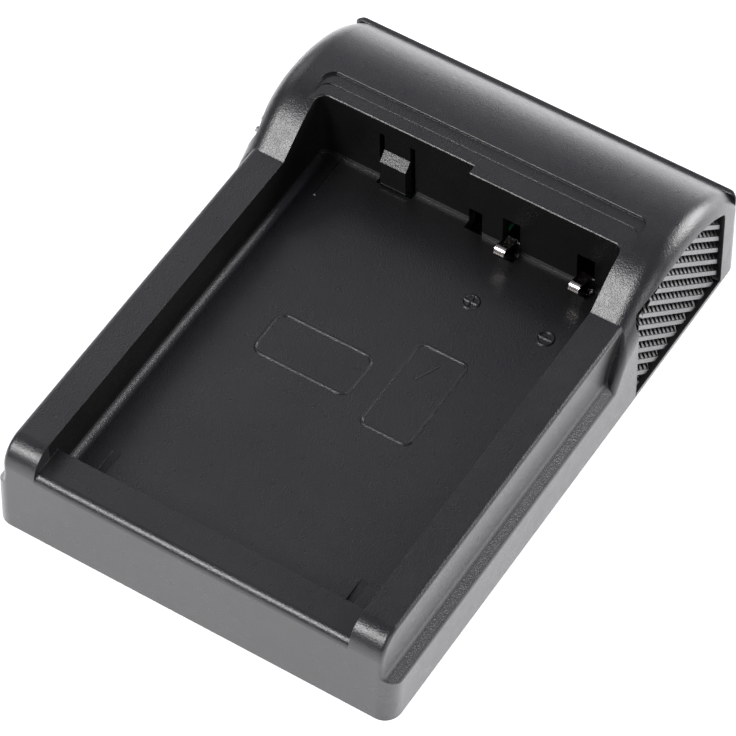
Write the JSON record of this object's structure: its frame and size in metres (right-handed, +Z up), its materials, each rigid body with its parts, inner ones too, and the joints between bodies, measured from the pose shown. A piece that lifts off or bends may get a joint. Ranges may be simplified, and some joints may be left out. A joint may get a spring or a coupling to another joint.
{
  "type": "camera battery charger",
  "caption": "Low tray-shaped desk charger for one flat camera battery, with an arched hood, sprung contacts, a latch tab and ribbed side grips.",
  "frame": {"origin": "centre of the underside, on the surface the charger stands on", "axes": "+X to the right with the hood at the back, +Y from the front lip towards the hood, +Z up"},
  "size_m": [0.048, 0.0692, 0.0164],
  "materials": {
    "shell_plastic": "fine-grained charcoal moulding, satin",
    "base_plastic": "fine-grained charcoal moulding, matt",
    "grip_plastic": "charcoal moulding, satin",
    "carrier_plastic": "black moulding, matt",
    "screw_steel": "zinc-plated",
    "contact_metal": "nickel-plated spring strip",
    "board_laminate": "green solder mask",
    "inlet_metal": "tinned sheet",
    "lamp_resin": "milky resin",
    "guide_clear": "clear, polished",
    "chip_resin": "moulded, matt",
    "lead_tin": "tinned",
    "ferrite": "sintered, matt",
    "can_metal": "drawn can, satin",
    "fuse_ceramic": "glazed ceramic",
    "resistor_ceramic": "glazed, tinned ends",
    "capacitor_ceramic": "fired ceramic"
  },
  "bodies": {
    "housing": {"upper_shell": "shell_plastic", "base_cover": "base_plastic", "tray_screws": "screw_steel", "hood_screws": "screw_steel", "grip_right": "grip_plastic", "grip_left": "grip_plastic", "contact_feet": "contact_metal", "contact_carrier": "carrier_plastic", "circuit_board": "board_laminate", "power_inlet": "inlet_metal", "inlet_tongue": "carrier_plastic", "indicator_lamp": "lamp_resin", "light_guide": "guide_clear", "charge_controller": "chip_resin", "controller_leads": "lead_tin", "switching_transistor": "chip_resin", "transistor_leads": "lead_tin", "power_inductor": "ferrite", "can_capacitors": "can_metal", "rectifier_diode": "chip_resin", "input_fuse": "fuse_ceramic", "chip_resistors": "resistor_ceramic", "chip_capacitors": "capacitor_ceramic"},
    "latch": {"latch_tab": "shell_plastic"},
    "positive_contact": {"contact_positive": "contact_metal"},
    "negative_contact": {"contact_negative": "contact_metal"}
  },
  "joints": [
    {"name": "latch_flex", "type": "hinge", "parent": "housing", "child": "latch", "pos_m": [-0.0093, 0.0208, 0.0139], "axis": [1, 0, 0], "range_deg": [0, 9], "stiffness_Nm_per_rad": 0.03},
    {"name": "positive_contact_flex", "type": "hinge", "parent": "housing", "child": "positive_contact", "pos_m": [0.00545, 0.0197, 0.0035], "axis": [-1, 0, 0], "range_deg": [0, 10], "stiffness_Nm_per_rad": 0.04},
    {"name": "negative_contact_flex", "type": "hinge", "parent": "housing", "child": "negative_contact", "pos_m": [0.0145, 0.0197, 0.0035], "axis": [-1, 0, 0], "range_deg": [0, 10], "stiffness_Nm_per_rad": 0.04}
  ]
}
